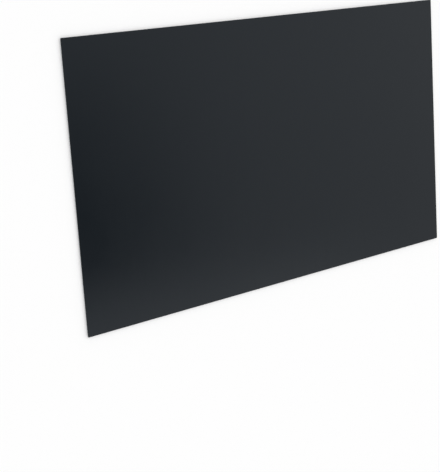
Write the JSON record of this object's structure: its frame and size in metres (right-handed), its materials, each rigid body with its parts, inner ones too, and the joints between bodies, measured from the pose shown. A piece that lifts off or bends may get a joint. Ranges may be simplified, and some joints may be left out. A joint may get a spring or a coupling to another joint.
{
  "type": "monitor privacy filter",
  "caption": "Thin dark privacy sheet for a widescreen monitor, with a slim magnetic strip and mounting tape behind its top edge.",
  "frame": {"origin": "middle of the footprint, on the surface that the part lies on", "axes": "+X along the sheet's width, +Y towards its top edge, +Z out of the viewed face"},
  "size_m": [0.527, 0.296, 0.0026],
  "materials": {
    "filter_sheet": "satin hard coat over dark louvred film",
    "keeper_strip": "thin black paint on steel band",
    "magnet_strip": "matte flexible magnet",
    "mounting_tape": "pale foam tape"
  },
  "bodies": {
    "root": {"filter_sheet": "filter_sheet", "keeper_strip": "keeper_strip", "magnet_strip": "magnet_strip", "mounting_tape": "mounting_tape"}
  },
  "joints": []
}
